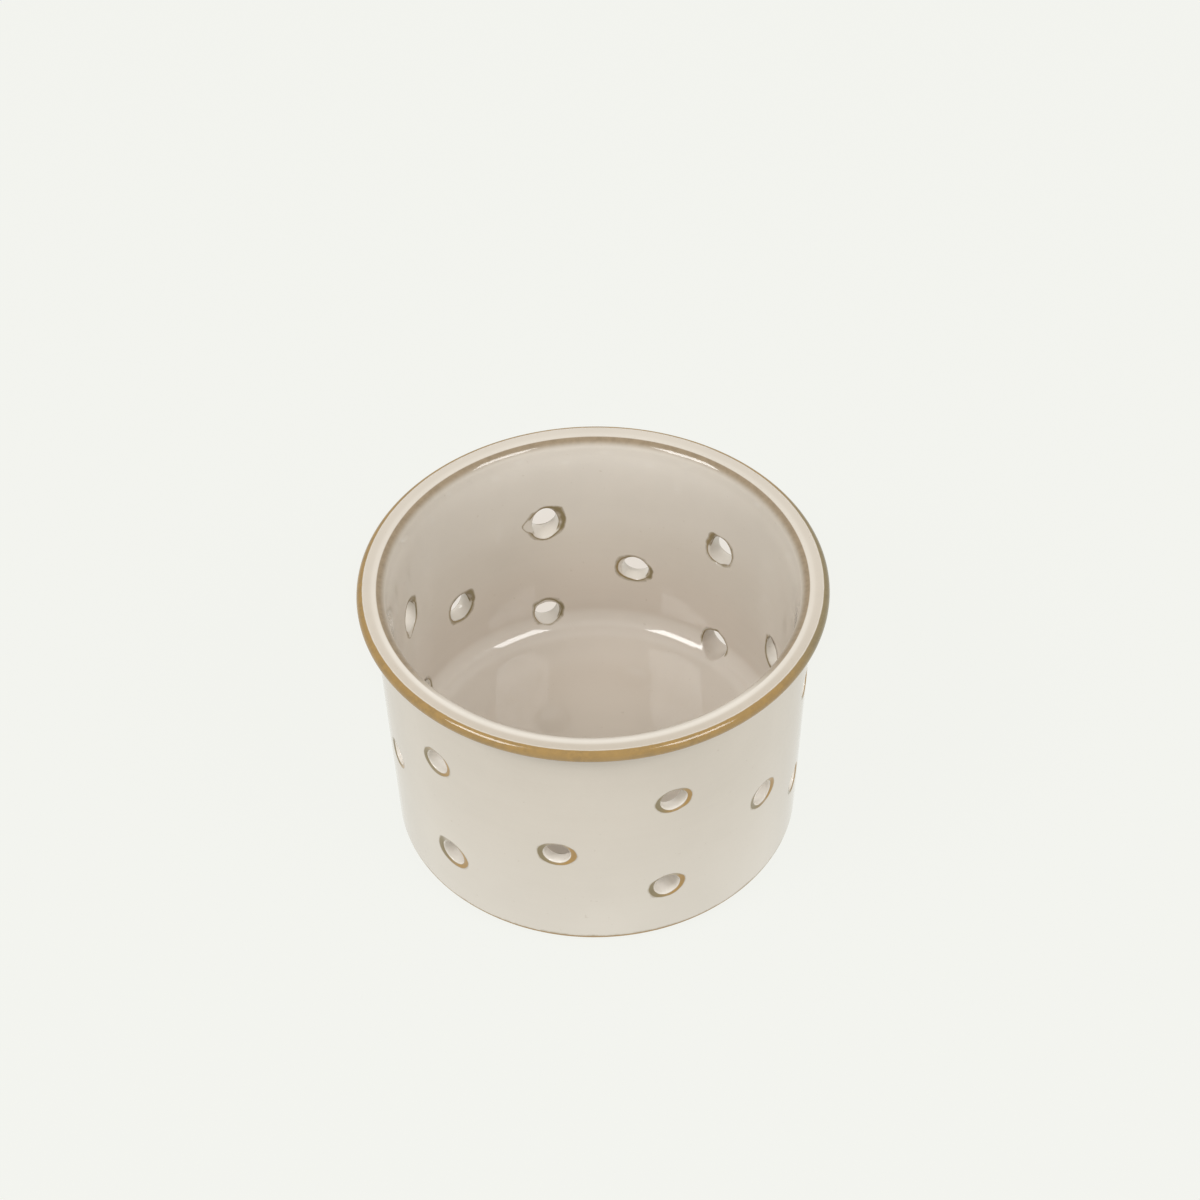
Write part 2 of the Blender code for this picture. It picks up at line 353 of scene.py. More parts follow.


# Mouths worth drawing one by one, by row and number. The rest are seeded variations of the plain ones.
INNER_MOUTHS = {
    (0, 0): Mouth(8.0, 9.4, turn=20.0, shift=(-0.2, 0.2), bore=(6.1, 8.2), points=((4.0, 1.7, 40.0),),
                  brown=((98.0, 1.0, 48.0), (178.0, 1.0, 70.0), (-38.0, 0.5, 14.0))),
    (0, 1): Mouth(6.8, 8.6, shift=(0.0, 0.2), bore=(6.0, 7.4), points=((-75.0, 1.3, 34.0),),
                  brown=((105.0, 1.0, 80.0),)),
    (0, 5): Mouth(7.0, 8.2, turn=30.0, shift=(0.1, 0.2), bore=(6.0, 7.8), points=((62.0, 1.0, 32.0),),
                  brown=((40.0, 1.0, 60.0), (-120.0, 0.7, 45.0))),
    (1, 0): Mouth(7.2, 7.5, turn=50.0, shift=(-0.2, -0.1), bore=(6.0, 7.4), points=((145.0, 0.5, 34.0),),
                  brown=((145.0, 1.0, 66.0), (-70.0, 0.4, 40.0))),
    (1, 4): Mouth(6.8, 7.8, shift=(0.0, -0.7), bore=(6.0, 7.4), points=((70.0, 0.7, 30.0),),
                  brown=((40.0, 0.7, 40.0),)),
    (1, 5): Mouth(7.6, 7.2, shift=(0.4, 0.0), bore=(6.0, 6.6), points=((178.0, 0.7, 34.0), (-158.0, 0.5, 16.0)),
                  brown=((180.0, 1.0, 52.0),)),
    (2, 0): Mouth(7.0, 7.0, shift=(0.0, 0.6), bore=(5.8, 5.7), points=((42.0, 0.4, 16.0),),
                  brown=((180.0, 0.9, 62.0), (45.0, 0.5, 20.0))),
    (2, 1): Mouth(6.8, 6.6, shift=(0.0, -0.3), bore=(5.8, 5.8), brown=((90.0, 0.5, 40.0),)),
    (2, 5): Mouth(7.4, 6.8, turn=10.0, shift=(0.0, -0.1), bore=(6.6, 6.2), points=((95.0, 0.5, 22.0),),
                  brown=((80.0, 0.8, 40.0),), open_below=True),
}
OUTER_MOUTHS = {
    (0, 0): Mouth(7.6, 6.8, shift=(0.0, 0.5)),
    (0, 1): Mouth(7.2, 6.6),
    (0, 2): Mouth(8.3, 7.6, turn=10.0),
    (0, 3): Mouth(8.3, 7.4, turn=8.0),
    (0, 5): Mouth(7.2, 6.6),
    (1, 0): Mouth(7.2, 6.6),
    (1, 2): Mouth(8.7, 7.3, turn=-4.0),
    (1, 3): Mouth(8.4, 7.4),
    (2, 2): Mouth(8.6, 7.9, turn=-10.0, points=((140.0, 0.5, 30.0),)),
    (2, 3): Mouth(8.3, 7.4, turn=8.0),
}
PLAIN_OUTER = (7.8, 6.9)
PLAIN_INNER = (6.9, 8.0)
OUTER_LOBES = 0.22
INNER_LOBES = 0.35
BORE_LOBES = 0.10

# A hole takes the place of a square block of the wall's grid, BLOCK cells from its middle to its edge.
BLOCK = 7
EDGE_POINTS = 8 * BLOCK
FIRST_ANGLE = 225.0      # the block's first corner, as an angle of the mouth
OUTER_LAND_RINGS = 4
OUTER_FLARE_RINGS = 7
BORE_RINGS = 3
INNER_FLARE_RINGS = 6
INNER_LAND_RINGS = 4
OUTER_FLARE_DEPTH = 0.4 * MM
INNER_FLARE_DEPTH = 0.35 * MM
INNER_CHAMFER_DEPTH = 0.45 * MM
LEAST_FLARE = 0.15 * MM
# The brown round the mouths: thin glaze along an edge, and a veined crescent on the inner mouths' chamfers.
WARMTH_SWING = 0.4
INNER_WARMTH = 0.45
INNER_EDGE_THIN = 0.85
INNER_EDGE_BAND = (-0.1 * MM, 0.1 * MM, 0.22 * MM, 0.5 * MM)      # along the flare
CRESCENT_BAND = (-0.2, 0.05, 0.85, 1.0)                           # share of the flare
OUTER_EDGE_BAND = (-0.08, 0.15, 0.5, 0.9)                         # share of the flare
OPEN_SPAN = (-0.55, -0.05)                                        # sine of the angle, where the brown sets in
LOWEST_MOUTH = FLOOR_HEIGHT + 0.3 * MM


class Hole:
    """One drain hole: where it is and the shape of its two mouths."""

    def __init__(self, row, number, chance):
        height, first, wander, lift = HOLE_ROWS[row]
        self.azimuth = math.radians(first + number * 360.0 / HOLES_PER_ROW + wander[number])
        self.height = height + lift[number] * MM
        self.outer = OUTER_MOUTHS.get((row, number)) or Mouth(*PLAIN_OUTER, turn=chance.uniform(-15.0, 15.0))
        self.inner = INNER_MOUTHS.get((row, number)) or Mouth(*PLAIN_INNER, turn=chance.uniform(-30.0, 30.0))
        self.outer.bore = (HOLE_RADIUS, HOLE_RADIUS)
        # Painted light: the bores that face the front are painted paler than those at the back.
        self.tone = FRONT_BORE_GLAZE_AND_LIGHT if math.cos(self.azimuth) > 0.0 else BACK_BORE_GLAZE_AND_LIGHT
        if self.inner.open_below:
            self.tone = OPEN_BORE_TONE
        self.outer.ruffle(chance, OUTER_LOBES)
        self.inner.ruffle(chance, INNER_LOBES)
        self.bore_lobes = tuple(
            (count, BORE_LOBES * MM * chance.uniform(0.3, 1.0), chance.uniform(0.0, 2.0 * math.pi))
            for count in (2, 3)
        )
        self.warmth = chance.uniform(0.35, 0.60)
        self.phase = chance.uniform(-0.7, 0.7)
        self.out = Vector((math.sin(self.azimuth), -math.cos(self.azimuth), 0.0))

    def bore_radius(self, mouth, angle):
        """The bore's radius next to one of its mouths."""
        lobes = sum(size * math.cos(count * angle - phase) for count, size, phase in self.bore_lobes)
        return mouth.bore_radius(angle) + lobes


chance = random.Random(18)
HOLES = [Hole(row, number, chance) for row in range(len(HOLE_ROWS)) for number in range(HOLES_PER_ROW)]


# ---------------------------------------------------------------------------------------------------------------
# Meshes.
# ---------------------------------------------------------------------------------------------------------------
SWAY_LENGTH = 17.0 * MM
UPPER_WALL = HEIGHT - 6.0 * MM

# Depth of the glaze's tone, on the scale that TONE_COLOURS gives. Spans are (from, to) and bands (rise, full, fade,
# gone), in heights or radii. They follow the glaze, and part of them stands in for the soft light of the photo: the
# pale upper back, the bright fillet, the front lip's shine and the browner sides.
CORE_SPAN = (0.8 * MM, 2.0 * MM)                  # from the inner face into the wall
# Inside, the tone deepens towards the floor: partly glaze pooling, partly painted shade.
POOL_AND_SHADE_TONE = 0.92
POOL_AND_SHADE_SPAN = (HEIGHT, FLOOR_HEIGHT + 4.0 * MM)
# Painted reflection: a paler band along the fillet.
FILLET_PAINTED_LIGHT = 0.34
FILLET_BAND = (12.1 * MM, 13.5 * MM, 15.5 * MM, 18.5 * MM)
# Painted light: the floor pales towards its outer ring.
FLOOR_PAINTED_LIGHT = 0.32
FLOOR_RING_SPAN = (19.0 * MM, 33.0 * MM)
FLOOR_SPAN = (13.0 * MM, 12.2 * MM)
# Painted light and shade on the upper inner wall: deeper all round, paler towards the back.
UPPER_PAINTED_LIGHT_AND_SHADE = (0.20, -0.66)                       # all round, and added towards the back
UPPER_LIGHT_AND_SHADE_LIMIT = 0.4
UPPER_SPAN = (28.0 * MM, 58.0 * MM)
# Painted shade on the outer wall: least at the foot, deepest under the lip.
OUTER_PAINTED_SHADE = (0.14, 0.60)                        # at the foot and under the lip
# Painted light on the lip top: paler towards the back.
LIP_PAINTED_LIGHT = (0.40, -0.10)                         # all round, and added towards the back
LIP_SPAN = (HEIGHT - 2.0 * MM, HEIGHT - 0.6 * MM)
# A painted shine along the front lip's inner edge.
FRONT_EDGE_PAINTED_SHINE = 0.75
FRONT_EDGE_BAND = (45.3 * MM, 45.9 * MM, 46.5 * MM, 47.3 * MM)
FRONT_SPAN = (-0.1, -0.7)                         # of how far a place lies towards the back

# How much of the clay's brown shows through the glaze, and the painted shade on the outer wall and the lip top, which
# is mixed in with the same brown.
OUTER_FACE_SPAN = (-1.4 * MM, -0.6 * MM)          # from inside the wall to its outer face
SHADE_TOP_SPAN = (HEIGHT - 2.0 * MM, HEIGHT - 4.0 * MM)
SHADE_FOOT_SPAN = (0.0, 3.0 * MM)
# Painted shade on the outer wall: deeper towards the lip, and at the left and right sides.
HIGH_PAINTED_SHADE = 0.135
SIDE_PAINTED_SHADE = 0.24
SIDE_SPAN = (0.80, 1.0)                           # of how far a place lies to one side
# A brown cast on the lip top: partly thin glaze, partly painted shade, stronger towards the front.
LIP_WEAR_AND_SHADE = (0.22, 0.12)                           # all round, and added towards the front
LIP_WEAR_AND_SHADE_SPAN = (46.4 * MM, 47.4 * MM)
LIP_LINE_SPAN = (38.0, 62.0)                      # degrees from the front, where the lip's inner line sets in
LIP_TOP_SHARE = (0.83, 0.95)                      # of the inner lip, where it turns into the lip's flat top
BAND_WARMTH = 0.62
COOL_SIDE = 0.40
COOL_SIDE_SPAN = (0.75, 1.0)                      # of how far a place lies to the right


def towards_back(spot, radius):
    """-1 at the front, 0 at the sides and 1 at the back."""
    return spot.y / max(radius, MM)


class Turned:
    """A turned mesh: a grid of columns round the axis and rows along an outline."""

    def __init__(self, outline, columns):
        self.outline = outline
        self.columns = columns
        self.points = []
        self.faces = []
        self.thin = []
        self.warm = []
        self.tones = []
        self.lines_and_shade = []
        self.known = {}

    def place(self, column, row):
        """The surface at a column and row, which may be fractional."""
        radius, height = self.outline.radius_height(row)
        azimuth = 2.0 * math.pi * column / self.columns
        spot = Vector((radius * math.sin(azimuth), -radius * math.cos(azimuth), height))
        sway = self.outline.sway(row)
        if sway:
            wave = sway * (0.5 + 0.5 * noise.noise(spot / SWAY_LENGTH))
            name = self.outline.name_at(row)
            if name in ("floor", "recess"):
                spot.z -= wave
            else:
                stretch = 1.0 + wave / radius if name == "inner_wall" else 1.0 - wave / radius
                spot.x *= stretch
                spot.y *= stretch
        return spot

    def add(self, spot, thin, warm=0.5, bore=0.0, line=0.0, bore_tone=0.0):
        """One vertex. bore is 0 on the faces and 1 inside a hole, and line is how far the lip's brown line shows,
        with the outer wall's painted shade mixed into the same value.
        """
        self.points.append(spot)
        self.thin.append(thin)
        # The outer wall's painted shade rides on the line value.
        self.lines_and_shade.append(max(line, self.outer_painted_shade(spot) * (1.0 - bore)))
        self.warm.append(warm)
        self.tones.append(self.tone(spot) * (1.0 - bore) + bore_tone * bore)
        return len(self.points) - 1

    def finish_at(self, column, row):
        """How thin the glaze runs at a place, how warm its brown is, and how far the lip's inner line shows, with the
        lip top's brown cast of thin glaze and painted shade mixed into the same value.
        """
        thin = self.outline.thinness(row)
        stretch, share = self.outline.find(row)
        azimuth = 2.0 * math.pi * column / self.columns
        radius = self.outline.radius_height(row)[0]
        # The lip top's brown cast is partly thin glaze and partly painted shade, stronger towards the front.
        lip_wear_and_shade = (LIP_WEAR_AND_SHADE[0] + LIP_WEAR_AND_SHADE[1] * math.cos(azimuth)) * smooth_step(*LIP_WEAR_AND_SHADE_SPAN, radius)
        if stretch.name in ("inner_lip", "lip_flare"):
            away = abs((math.degrees(azimuth) + 180.0) % 360.0 - 180.0)
            on_top = smooth_step(*LIP_TOP_SHARE, share) if stretch.name == "inner_lip" else 0.0
            return 0.0, BAND_WARMTH, max(thin * smooth_step(*LIP_LINE_SPAN, away), lip_wear_and_shade * on_top)
        if stretch.name == "lip_edge":
            return thin, BAND_WARMTH - COOL_SIDE * smooth_step(*COOL_SIDE_SPAN, math.sin(azimuth)), 0.0
        return thin, BAND_WARMTH, lip_wear_and_shade if stretch.name == "lip_top" else 0.0

    def corner(self, column, row):
        """The grid's own vertex at a whole column and row. The ends on the axis are one vertex each."""
        column %= self.columns
        if self.outline.radius_height(row)[0] < 1e-7:
            column = 0
        if (column, row) not in self.known:
            thin, warm, line = self.finish_at(column, row)
            self.known[column, row] = self.add(self.place(column, row), thin, warm, line=line)
        return self.known[column, row]

    def grid(self, left_out):
        for row in range(self.outline.rows):
            for column in range(self.columns):
                if (column, row) in left_out:
                    continue
                face = [self.corner(column, row), self.corner(column, row + 1),
                        self.corner(column + 1, row + 1), self.corner(column + 1, row)]
                face = [v for place, v in enumerate(face) if v != face[place - 1]]
                self.faces.append(face)

    def tone(self, spot):
        """How deep the glaze's tone is. Inside it deepens towards the floor, partly glaze pooling and partly painted
        shade, with painted light on the upper back, the fillet and the floor's outer ring. Outside it is painted
        shade, least at the foot and deepest under the lip, with a lip top painted paler towards the back and a
        painted shine on the front lip's inner edge.
        """
        radius = math.hypot(spot.x, spot.y)
        back = towards_back(spot, radius)
        inside = 1.0 - smooth_step(*CORE_SPAN, radius - inner_radius(spot.z))
        # Inside: glaze pooling with painted shade towards the floor, and painted light on the fillet, the floor's
        # ring and the upper back.
        pool_shade_and_light = POOL_AND_SHADE_TONE * smooth_step(*POOL_AND_SHADE_SPAN, spot.z)
        pool_shade_and_light += FILLET_PAINTED_LIGHT * bump_between(*FILLET_BAND, spot.z)
        pool_shade_and_light += FLOOR_PAINTED_LIGHT * smooth_step(*FLOOR_RING_SPAN, radius) * smooth_step(*FLOOR_SPAN, spot.z)
        upper = UPPER_PAINTED_LIGHT_AND_SHADE[0] + UPPER_PAINTED_LIGHT_AND_SHADE[1] * back
        pool_shade_and_light += smooth_step(*UPPER_SPAN, spot.z) * min(upper, UPPER_LIGHT_AND_SHADE_LIMIT)
        # Outside, the tone is painted shade that deepens from the foot up to under the lip.
        wear_and_shade = OUTER_PAINTED_SHADE[0] + (OUTER_PAINTED_SHADE[1] - OUTER_PAINTED_SHADE[0]) * min(1.0, spot.z / UPPER_WALL)
        on_lip = smooth_step(*LIP_SPAN, spot.z)
        # Painted light on the lip top, paler towards the back, and a painted shine on the front lip's inner edge.
        wear_and_shade += on_lip * (LIP_PAINTED_LIGHT[0] + LIP_PAINTED_LIGHT[1] * back - wear_and_shade)
        wear_and_shade -= FRONT_EDGE_PAINTED_SHINE * bump_between(*FRONT_EDGE_BAND, radius) * on_lip * smooth_step(*FRONT_SPAN, back)
        return pool_shade_and_light * inside + wear_and_shade * (1.0 - inside)

    def outer_painted_shade(self, spot):
        """Painted shade on the outer wall, carried in the lip line's brown: deeper near the lip and at the left and
        right sides.
        """
        radius = math.hypot(spot.x, spot.y)
        outside = smooth_step(*OUTER_FACE_SPAN, radius - outer_radius(spot.z))
        outside *= smooth_step(*SHADE_TOP_SPAN, spot.z) * smooth_step(*SHADE_FOOT_SPAN, spot.z)
        side = SIDE_PAINTED_SHADE * smooth_step(*SIDE_SPAN, abs(spot.x) / max(radius, MM))
        return outside * (HIGH_PAINTED_SHADE * min(1.0, spot.z / UPPER_WALL) + side)

    def build(self, name, material):
        mesh = bpy.data.meshes.new(name)
        mesh.from_pydata(self.points, [], self.faces)
        for attribute, values in (("thin", self.thin), ("warm", self.warm), ("tone", self.tones),
                                  ("line", self.lines_and_shade)):
            mesh.attributes.new(attribute, "FLOAT", "POINT").data.foreach_set("value", values)
        mesh.polygons.foreach_set("use_smooth", [True] * len(mesh.polygons))
        mesh.materials.append(material)
        mesh.validate()
        built = bpy.data.objects.new(name, mesh)
        bpy.context.scene.collection.objects.link(built)
        return built


class Ware(Turned):
    """The glazed ware, with its drain holes let into both faces of the wall."""

    def __init__(self, outline):
        super().__init__(outline, COLUMNS)
        self.fillet = outline.named("fillet")
        self.inner_wall = outline.named("inner_wall")
        self.outer_wall = outline.named("outer_wall")

    def row_at(self, height, inside):
        """The row where the inner or outer face has this height."""
        wall = self.inner_wall if inside else self.outer_wall
        first, last = wall.point(0.0)[1], wall.point(1.0)[1]
        if height >= first or not inside:
            return wall.first + (height - first) / (last - first) * wall.rows
        drop = min(1.0, (fillet_centre[1] - height) / FLOOR_FILLET_RADIUS)
        angle = -math.degrees(math.asin(drop))
        return self.fillet.first + (angle + 90.0) / (90.0 - WALL_ANGLE) * self.fillet.rows

    def on_face(self, hole, side, rise, inside):
        """Column and row of the point of a face that is side and rise from a hole's axis."""
        row = self.row_at(hole.height + rise, inside)
        radius = self.outline.radius_height(row)[0]
        azimuth = hole.azimuth + math.asin(side / radius)
        return azimuth * self.columns / (2.0 * math.pi), row

    def block_edge(self, centre_column, centre_row, inside):
        """The grid vertices round a hole's block, counter-clockwise seen from outside."""
        steps = [(-BLOCK + k, -BLOCK) for k in range(2 * BLOCK)]
        steps += [(BLOCK, -BLOCK + k) for k in range(2 * BLOCK)]
        steps += [(BLOCK - k, BLOCK) for k in range(2 * BLOCK)]
        steps += [(-BLOCK, BLOCK - k) for k in range(2 * BLOCK)]
        up = 1 if inside else -1
        return [(centre_column + across, centre_row + up * rise) for across, rise in steps]

    def drill(self):
        """Leaves out the blocks round the holes and joins their edges through the wall with rings."""
        left_out = set()
        for hole in HOLES:
            rings = self.hole_rings(hole, left_out)
            for ring, following in zip(rings, rings[1:]):
                for k in range(EDGE_POINTS):
                    after = (k + 1) % EDGE_POINTS
                    self.faces.append([ring[k], ring[after], following[after], following[k]])
        self.grid(left_out)

    def hole_rings(self, hole, left_out):
        """All the rings of one hole, from its block on the outer face through the bore to its block on the inner."""
        angles = [math.radians(FIRST_ANGLE + 360.0 * k / EDGE_POINTS) for k in range(EDGE_POINTS)]
        column = round(hole.azimuth * self.columns / (2.0 * math.pi))
        outside = self.mouth_rings(hole, hole.outer, angles, column, False, left_out)
        inside = self.mouth_rings(hole, hole.inner, angles, column, True, left_out)
        bore = []
        for step in range(1, BORE_RINGS):
            bore.append([
                self.add(self.points[a].lerp(self.points[b], step / BORE_RINGS), 0.0, bore=1.0, bore_tone=hole.tone)
                for a, b in zip(outside[-1], inside[-1])
            ])
        return outside + bore + inside[::-1]

    def mouth_rings(self, hole, mouth, angles, centre_column, inside, left_out):
        """Rings from a block's edge over the mouth's edge to the start of the bore."""
        centre_row = round(self.row_at(hole.height, inside))
        edge = self.block_edge(centre_column, centre_row, inside)
        low_row = centre_row - BLOCK
        for across in range(-BLOCK, BLOCK):
            for along in range(2 * BLOCK):
                left_out.add(((centre_column + across) % self.columns, low_row + along))
        rings = [[self.corner(*spot) for spot in edge]]
        outline_spots = []
        for angle in angles:
            radius = self.mouth_radius(hole, mouth, angle, inside)
            outline_spots.append(self.on_face(hole, mouth.shift[0] + radius * math.cos(angle),
                                              mouth.shift[1] + radius * math.sin(angle), inside))
        land_rings = INNER_LAND_RINGS if inside else OUTER_LAND_RINGS
        for step in range(1, land_rings):
            share = step / land_rings
            ring = []
            for from_edge, to_mouth in zip(edge, outline_spots):
                spot = (from_edge[0] + (to_mouth[0] - from_edge[0]) * share,
                        from_edge[1] + (to_mouth[1] - from_edge[1]) * share)
                ring.append(self.add(self.place(*spot), self.outline.thinness(spot[1])))
            rings.append(ring)
        flare_rings = INNER_FLARE_RINGS if inside else OUTER_FLARE_RINGS
        for step in range(flare_rings + 1):
            rings.append(self.flare_ring(hole, mouth, angles, step / flare_rings, inside))
        return rings

    def mouth_radius(self, hole, mouth, angle, inside):
        """The mouth's own radius, held back where it would reach below the floor inside."""
        radius = mouth.radius(angle)
        drop = -math.sin(angle)
        if inside and drop > 0.05:
            radius = min(radius, (hole.height + mouth.shift[1] - LOWEST_MOUTH) / drop)
        return radius

    def flare_ring(self, hole, mouth, angles, share, inside):
        """One ring of the rounding between a mouth's edge and the bore: share runs from 0 to 1."""
        ring = []
        for angle in angles:
            wide = self.mouth_radius(hole, mouth, angle, inside)
            narrow = hole.bore_radius(mouth, angle)
            span = max(wide - narrow, LEAST_FLARE)
            turn = share * math.pi / 2.0
            inward = span * math.sin(turn)
            radius = wide - inward
            shift = 1.0 - math.sin(turn)
            deep = (INNER_FLARE_DEPTH + INNER_CHAMFER_DEPTH * mouth.brownness(angle)) if inside else OUTER_FLARE_DEPTH
            depth = deep * (1.0 - math.cos(turn))
            side = mouth.shift[0] * shift + radius * math.cos(angle)
            rise = mouth.shift[1] * shift + radius * math.sin(angle)
            spot = self.place(*self.on_face(hole, side, rise, inside))
            spot += hole.out * (depth if inside else -depth)
            thin = self.flare_thinness(hole, mouth, angle, share, inward + depth, inside)
            warm = hole.warmth + WARMTH_SWING * math.cos(angle - hole.phase)
            if inside:
                warm *= INNER_WARMTH
            into_bore = smooth_step(0.3, 1.0, share)
            ring.append(self.add(spot, thin, warm, bore=into_bore, bore_tone=hole.tone))
        return ring

    def flare_thinness(self, hole, mouth, angle, share, along, inside):
        """How thin the glaze runs at a share of the flare, which is that far along it from the mouth's edge."""
        if inside:
            edge = INNER_EDGE_THIN * bump_between(*INNER_EDGE_BAND, along)
            veins = 0.42 + 0.55 * abs(2.0 * share - 1.0) + 0.14 * math.sin(9.0 * angle + hole.phase)
            crescent = veins * bump_between(*CRESCENT_BAND, share) * min(1.0, mouth.brownness(angle))
            wear_and_shade = max(edge, crescent)
            return wear_and_shade * smooth_step(*OPEN_SPAN, math.sin(angle)) if mouth.open_below else wear_and_shade
        edge = bump_between(*OUTER_EDGE_BAND, share)
        return edge * (0.84 + 0.16 * math.cos(2.0 * angle + hole.phase) - 0.30 * max(0.0, math.sin(angle)))


# ---------------------------------------------------------------------------------------------------------------
# Materials.
# ---------------------------------------------------------------------------------------------------------------
class Nodes:
    """Short ways to add shader nodes to a material."""

    def __init__(self, name):
        self.material = bpy.data.materials.new(name)
        self.material.use_nodes = True
        self.tree = self.material.node_tree
        self.tree.nodes.clear()
        self.output = self.tree.nodes.new("ShaderNodeOutputMaterial")

    def add(self, kind, inputs=None, **settings):
        node = self.tree.nodes.new(kind)
        for name, value in settings.items():
            setattr(node, name, value)
        for name, value in (inputs or {}).items():
            if isinstance(value, bpy.types.NodeSocket):
                self.tree.links.new(value, node.inputs[name])
            else:
                node.inputs[name].default_value = value
        return node

    def math(self, operation, first, second=0.0, third=0.0, clamp=False):
        """One arithmetic node. A third value is used by MULTIPLY_ADD only."""
        node = self.add("ShaderNodeMath", {0: first, 1: second, 2: third}, operation=operation, use_clamp=clamp)
        return node.outputs[0]

    def mix(self, share, first, second):
        """first at a share of 0, second at 1. A colour mix has its share on input 0 and its colours on 6 and 7."""
        return self.add("ShaderNodeMix", {0: share, 6: first, 7: second}, data_type="RGBA").outputs[2]

    def noise(self, vector, scale, detail=3.0, roughness=0.5):
        return self.add("ShaderNodeTexNoise", {"Vector": vector, "Scale": scale, "Detail": detail,
                                               "Roughness": roughness}).outputs["Fac"]

    def spread(self, value, low, high, to_low=0.0, to_high=1.0):
        """value from low..high to to_low..to_high, clamped and smooth."""
        return self.add("ShaderNodeMapRange", {"Value": value, "From Min": low, "From Max": high,
                                               "To Min": to_low, "To Max": to_high},
                        interpolation_type="SMOOTHSTEP").outputs["Result"]

    def attribute(self, name):
        return self.add("ShaderNodeAttribute", attribute_name=name, attribute_type="GEOMETRY").outputs["Fac"]

    def object_place(self, scale=(1.0, 1.0, 1.0)):
        place = self.add("ShaderNodeTexCoord").outputs["Object"]
        return self.add("ShaderNodeMapping", {"Vector": place, "Scale": scale}).outputs["Vector"]


# The glaze's colour at each depth of tone: palest, partly bore glaze and partly painted light in the front bores; the
# cream; its darker warm shades, which carry painted shade as well; and a pale colour, reached by the painted light on
# the fillet and the floor's ring.
TONE_COLOURS = (
    (-1.0, (0.830, 0.790, 0.735, 1.0)),
    (0.0, (0.665, 0.622, 0.562, 1.0)),
    (0.5, (0.630, 0.580, 0.514, 1.0)),
    (1.0, (0.612, 0.548, 0.480, 1.0)),
    (1.5, (0.700, 0.650, 0.590, 1.0)),
)
CLOUD_COLOUR = (0.36, 0.33, 0.28, 1.0)
THROWING_COLOUR = (0.680, 0.645, 0.590, 1.0)
# Browns for the lip's lines, also used for the painted shade on the outer wall and the lip top.
LINE_AND_SHADE_COLOURS = ((0.235, 0.178, 0.112, 1.0), (0.285, 0.218, 0.142, 1.0))
SPECK_COLOUR = (0.36, 0.28, 0.20, 1.0)
THINNING_COLOUR = (0.370, 0.315, 0.235, 1.0)
HONEY_COLOURS = ((0.225, 0.178, 0.092, 1.0), (0.350, 0.208, 0.058, 1.0))      # cool and warm
DEEP_BROWN = (0.130, 0.095, 0.050, 1.0)
GLAZE_IOR = 1.58


def cream_glaze():
    """A glossy cream glaze that breaks to honey brown where it runs thin over an edge."""
    nodes = Nodes("cream_glaze")
    place = nodes.object_place()
    thin = nodes.attribute("thin")

    cloud = nodes.noise(place, 38.0, 3.0, 0.55)
    throwing = nodes.noise(nodes.object_place((2.0, 2.0, 420.0)), 1.0, 2.0, 0.6)
    # The tone carries painted light and shade as well as the glaze's own depth of colour.
    tone = nodes.attribute("tone")
    cream = TONE_COLOURS[0][1]
    for (low, _), (high, colour) in zip(TONE_COLOURS, TONE_COLOURS[1:]):
        cream = nodes.mix(nodes.spread(tone, low, high), cream, colour)
    cream = nodes.mix(nodes.spread(cloud, 0.3, 0.72, 0.10, 0.0), cream, CLOUD_COLOUR)
    cream = nodes.mix(nodes.spread(throwing, 0.3, 0.75, 0.0, 0.09), cream, THROWING_COLOUR)
    ragged = nodes.noise(place, 650.0, 4.0, 0.65)
    lip_line_and_shade = nodes.mix(nodes.spread(ragged, 0.3, 0.65), *LINE_AND_SHADE_COLOURS)
    # The line attribute carries the lip's brown lines and also painted shade on the outer wall and the lip top.
    cream = nodes.mix(nodes.attribute("line"), cream, lip_line_and_shade)
    speck = nodes.noise(place, 900.0, 2.0, 0.5)
    cream = nodes.mix(nodes.spread(speck, 0.70, 0.80, 0.0, 0.22), cream, SPECK_COLOUR)

    patchy = nodes.noise(place, 120.0, 2.0, 0.5)
    broken = nodes.math("MULTIPLY_ADD", ragged, 0.5, nodes.math("MULTIPLY_ADD", patchy, 0.4, -0.46))
    wear_and_shade = nodes.math("MULTIPLY", nodes.math("ADD", thin, broken), nodes.spread(thin, 0.0, 0.25), clamp=True)
    honey = nodes.mix(nodes.spread(nodes.attribute("warm"), 0.2, 0.8), *HONEY_COLOURS)
    deep = nodes.mix(nodes.spread(ragged, 0.3, 0.62, 0.55, 0.0), honey, DEEP_BROWN)
    ramp = nodes.mix(nodes.spread(wear_and_shade, 0.08, 0.45), cream, THINNING_COLOUR)
    ramp = nodes.mix(nodes.spread(wear_and_shade, 0.35, 0.75), ramp, honey)
    colour = nodes.mix(nodes.spread(wear_and_shade, 0.8, 1.1), ramp, deep)

    roughness = nodes.math("ADD", nodes.spread(wear_and_shade, 0.2, 0.9, 0.03, 0.10),
                           nodes.spread(cloud, 0.35, 0.7, 0.0, 0.02))
    dimple = nodes.noise(place, 240.0, 2.0, 0.45)
    bump = nodes.add("ShaderNodeBump", {"Height": nodes.math("MULTIPLY_ADD", throwing, 0.35, dimple),
                                        "Strength": 0.08, "Distance": 0.00016})
    shader = nodes.add("ShaderNodeBsdfPrincipled", {"Base Color": colour, "Roughness": roughness,
                                                    "Normal": bump.outputs[0], "IOR": GLAZE_IOR})
    nodes.tree.links.new(shader.outputs[0], nodes.output.inputs["Surface"])
    return nodes.material


